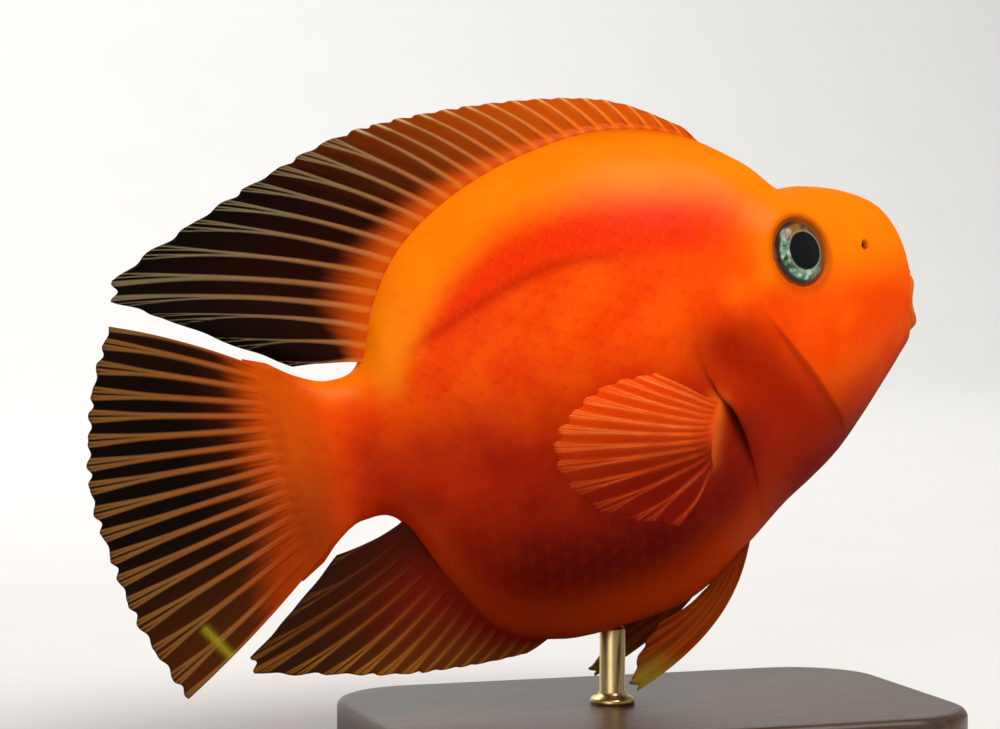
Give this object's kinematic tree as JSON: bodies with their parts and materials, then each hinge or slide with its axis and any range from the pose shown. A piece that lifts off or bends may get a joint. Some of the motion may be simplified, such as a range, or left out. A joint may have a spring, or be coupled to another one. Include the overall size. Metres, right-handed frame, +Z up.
{
  "type": "blood parrot cichlid museum model",
  "caption": "Life-size still model of a deep-bodied orange-red aquarium fish with spread fins, held above a flat base by a short rod",
  "frame": {"origin": "on the base's underside, below the rod's centre line", "axes": "+Z up, +X towards the end that the fish faces, +Y towards the fish's left flank"},
  "size_m": [0.179, 0.076, 0.1308],
  "materials": {
    "skin": "wet satin orange-red skin",
    "fin": "satin orange-brown fin",
    "eye": "high gloss",
    "stand_base": "satin dark wood",
    "stand_rod": "brushed"
  },
  "bodies": {
    "root": {"head": "skin", "trunk": "skin", "tail_stalk": "skin", "eye_right": "eye", "eye_left": "eye", "dorsal_fin": "fin", "anal_fin": "fin", "caudal_fin": "fin", "pectoral_fin_right": "fin", "pectoral_fin_left": "fin", "pelvic_fin_right": "fin", "pelvic_fin_left": "fin", "stand_base": "stand_base", "stand_rod": "stand_rod"}
  },
  "joints": []
}
